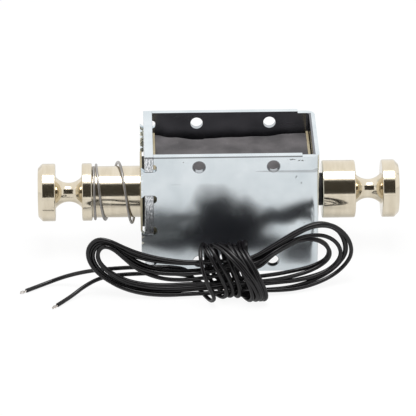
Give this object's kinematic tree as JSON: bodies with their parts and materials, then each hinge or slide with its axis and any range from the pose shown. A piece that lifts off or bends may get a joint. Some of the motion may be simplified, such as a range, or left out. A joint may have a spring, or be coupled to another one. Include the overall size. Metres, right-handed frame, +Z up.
{
  "type": "push pull solenoid",
  "caption": "Open frame push pull solenoid with a spring returned plunger, grooved plunger heads at both ends and a hank of black leads.",
  "frame": {"origin": "centre of the object's length and depth, on the surface that the frame's bottom edges stand on; the leads are left out", "axes": "+X along the plunger from the spring end to the far end, +Y from the front wall to the back wall, +Z up"},
  "size_m": [0.1296, 0.0612, 0.044],
  "materials": {
    "zinc_steel": "bright zinc plating, semi gloss",
    "nickel_plunger": "champagne tinted nickel plating, polished",
    "spring_steel": "drawn spring wire",
    "core_steel": "turned steel",
    "brass": "drawn brass",
    "fibre": "tan vulcanised fibre",
    "copper": "enamelled copper winding",
    "cloth_tape": "black grey cloth tape",
    "black_rubber": "black rubber",
    "lead_insulation": "black semi gloss insulation",
    "tinned_copper": "tinned strands"
  },
  "bodies": {
    "housing": {"frame_strip": "zinc_steel", "end_plate": "zinc_steel", "guide_tube": "brass", "coil_former": "fibre", "left_flange": "fibre", "right_flange": "fibre", "coil_winding": "copper", "coil_wrap": "cloth_tape", "pole_piece": "core_steel", "stop_washer": "brass", "rubber_damper": "black_rubber", "fibre_disc": "fibre", "end_buffer": "black_rubber", "return_spring": "spring_steel", "lead_sleeve_a": "black_rubber", "lead_sleeve_b": "black_rubber", "lead_exit_a": "lead_insulation", "lead_exit_b": "lead_insulation", "lead_hank": "lead_insulation", "lead_tail_a": "lead_insulation", "lead_tail_b": "lead_insulation", "tinned_end_a": "tinned_copper", "tinned_end_b": "tinned_copper"},
    "plunger": {"left_slug": "nickel_plunger", "push_rod": "core_steel", "right_slug": "nickel_plunger"}
  },
  "joints": [
    {"name": "plunger_slide", "type": "slide", "parent": "housing", "child": "plunger", "axis": [1, 0, 0], "range_m": [0, 0.01], "stiffness_N_per_m": 250, "springref_m": -0.008, "deforming": ["return_spring"]}
  ]
}
